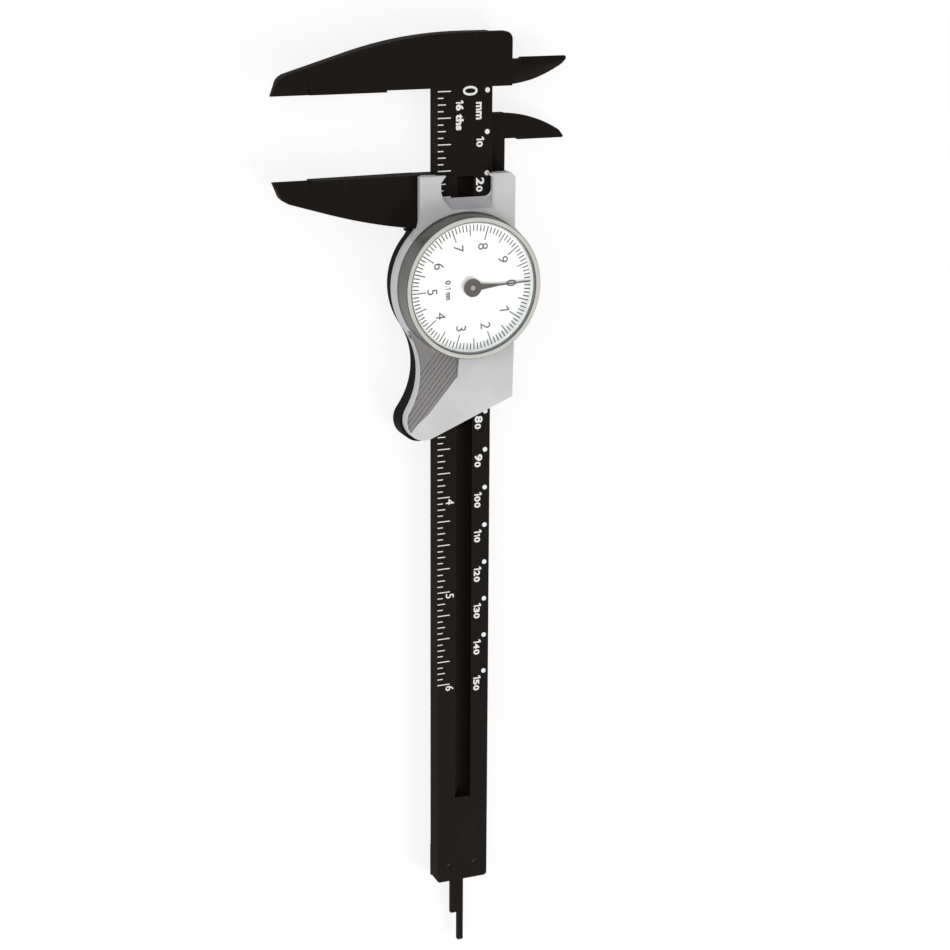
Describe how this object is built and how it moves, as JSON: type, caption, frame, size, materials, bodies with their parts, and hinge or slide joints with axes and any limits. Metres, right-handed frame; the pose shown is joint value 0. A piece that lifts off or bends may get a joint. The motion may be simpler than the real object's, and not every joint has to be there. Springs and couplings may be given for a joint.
{
  "type": "dial caliper",
  "caption": "plastic dial caliper with sliding jaws, reading window, turning dial rim, rack-driven pointer and depth rod",
  "frame": {"origin": "on the slider's flat back face, straight under the pointer's axis", "axes": "+X along the beam from the fixed jaws to the depth rod's tip, +Y from the outside jaws to the inside jaws, +Z out of the dial"},
  "size_m": [0.2428, 0.0756, 0.0134],
  "materials": {
    "black_plastic": "moulded glass-filled nylon",
    "grey_plastic": "fine moulded grain",
    "rim_plastic": "smooth satin",
    "white_plastic": "flat",
    "clear_plastic": "clear",
    "pointer_paint": "matte",
    "brass": "turned",
    "steel": "plain"
  },
  "bodies": {
    "beam": {"beam": "black_plastic", "gear_rack": "black_plastic", "end_plate": "black_plastic", "end_pins": "steel"},
    "slider": {"slider_body": "black_plastic", "slider_cover": "grey_plastic", "cover_screws": "steel", "guide_spring": "steel", "depth_rod": "black_plastic", "rod_pins": "steel", "bridge": "steel", "bridge_screws": "steel", "lower_bush": "brass", "upper_bush": "brass", "brake_ring": "steel"},
    "rim": {"bezel": "rim_plastic", "crystal": "clear_plastic", "dial_spacer": "white_plastic", "dial_plate": "white_plastic", "bezel_sleeve": "rim_plastic"},
    "spindle": {"arbor": "steel", "pinion": "brass", "pointer": "pointer_paint"}
  },
  "joints": [
    {"name": "slider_travel", "type": "slide", "parent": "beam", "child": "slider", "axis": [1, 0, 0], "range_m": [-0.02, 0.13]},
    {"name": "rim_turn", "type": "hinge", "parent": "slider", "child": "rim", "pos_m": [0, 0, 0.009], "axis": [0, 0, 1], "continuous": true},
    {"name": "pointer_turn", "type": "hinge", "parent": "slider", "child": "spindle", "pos_m": [0, 0, 0.009], "axis": [0, 0, 1], "range_deg": [-4681, 721]}
  ],
  "couplings": [
    {"joint": "pointer_turn", "follows": "slider_travel", "rad_per_m": -628.32}
  ]
}
